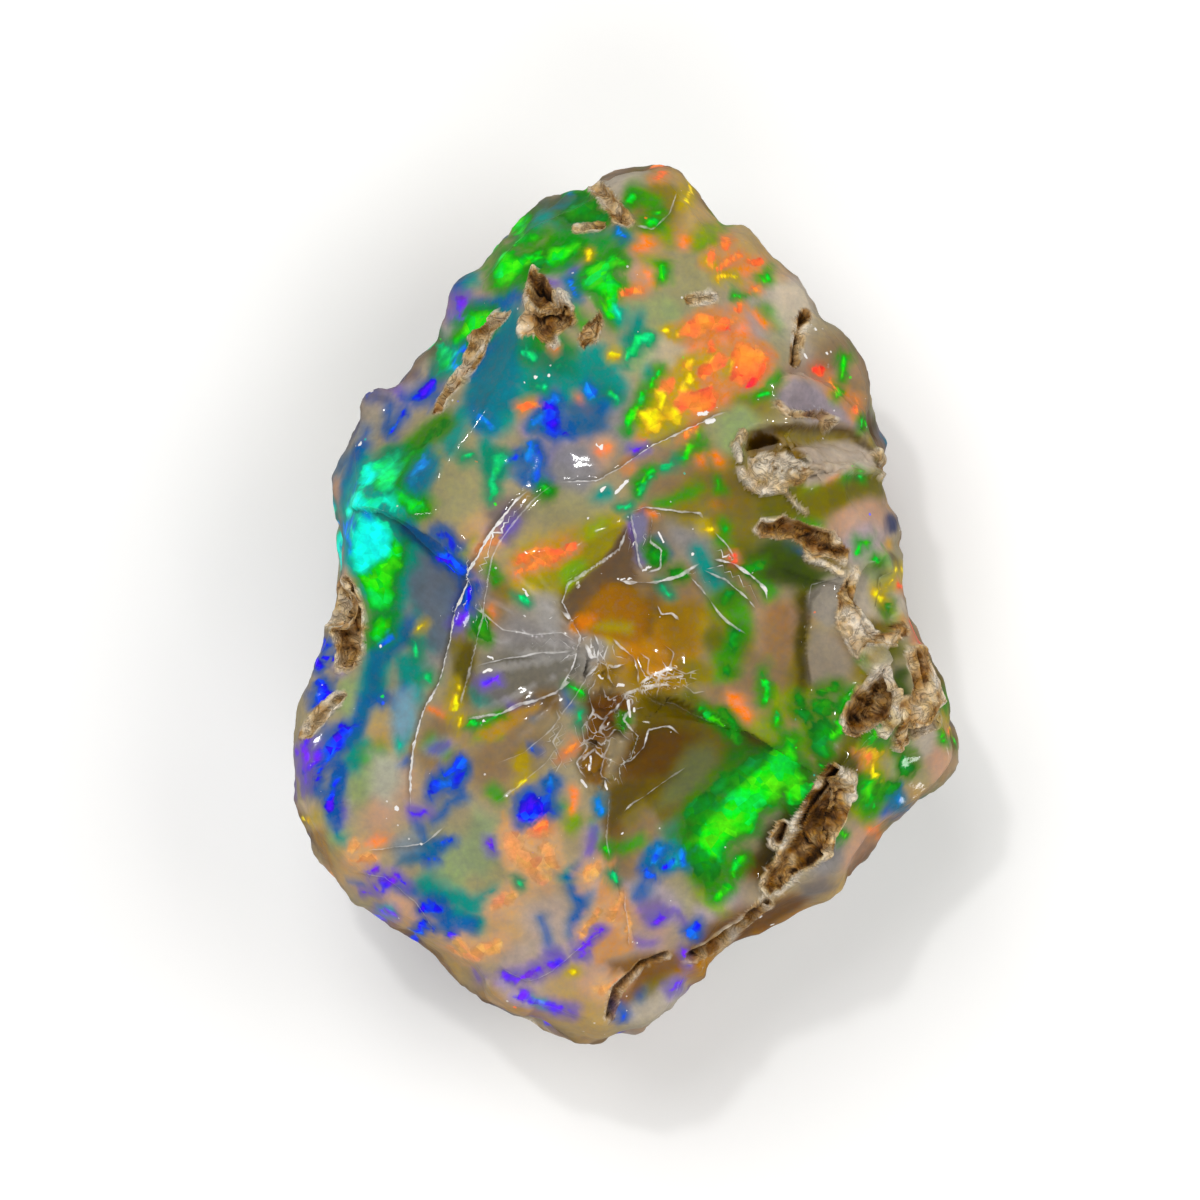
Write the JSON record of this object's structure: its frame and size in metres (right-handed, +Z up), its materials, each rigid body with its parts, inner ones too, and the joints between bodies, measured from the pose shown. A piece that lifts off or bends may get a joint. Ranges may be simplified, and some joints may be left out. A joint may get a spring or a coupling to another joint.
{
  "type": "rough opal",
  "caption": "Rough, uncut piece of precious opal lying on a small natural flat, with shell-like breaks, pits of host rock along one edge and play of colour.",
  "frame": {"origin": "centre of the stone's box in plan, on the plane of the small flat it rests on", "axes": "+Z up, away from the flat it rests on; +Y along its length, towards the pointed end; +X towards the edge with the pits"},
  "size_m": [0.022, 0.0292, 0.0115],
  "materials": {
    "opal": "vitreous on the breaks, dull on the host rock"
  },
  "bodies": {
    "root": {"opal": "opal"}
  },
  "joints": []
}
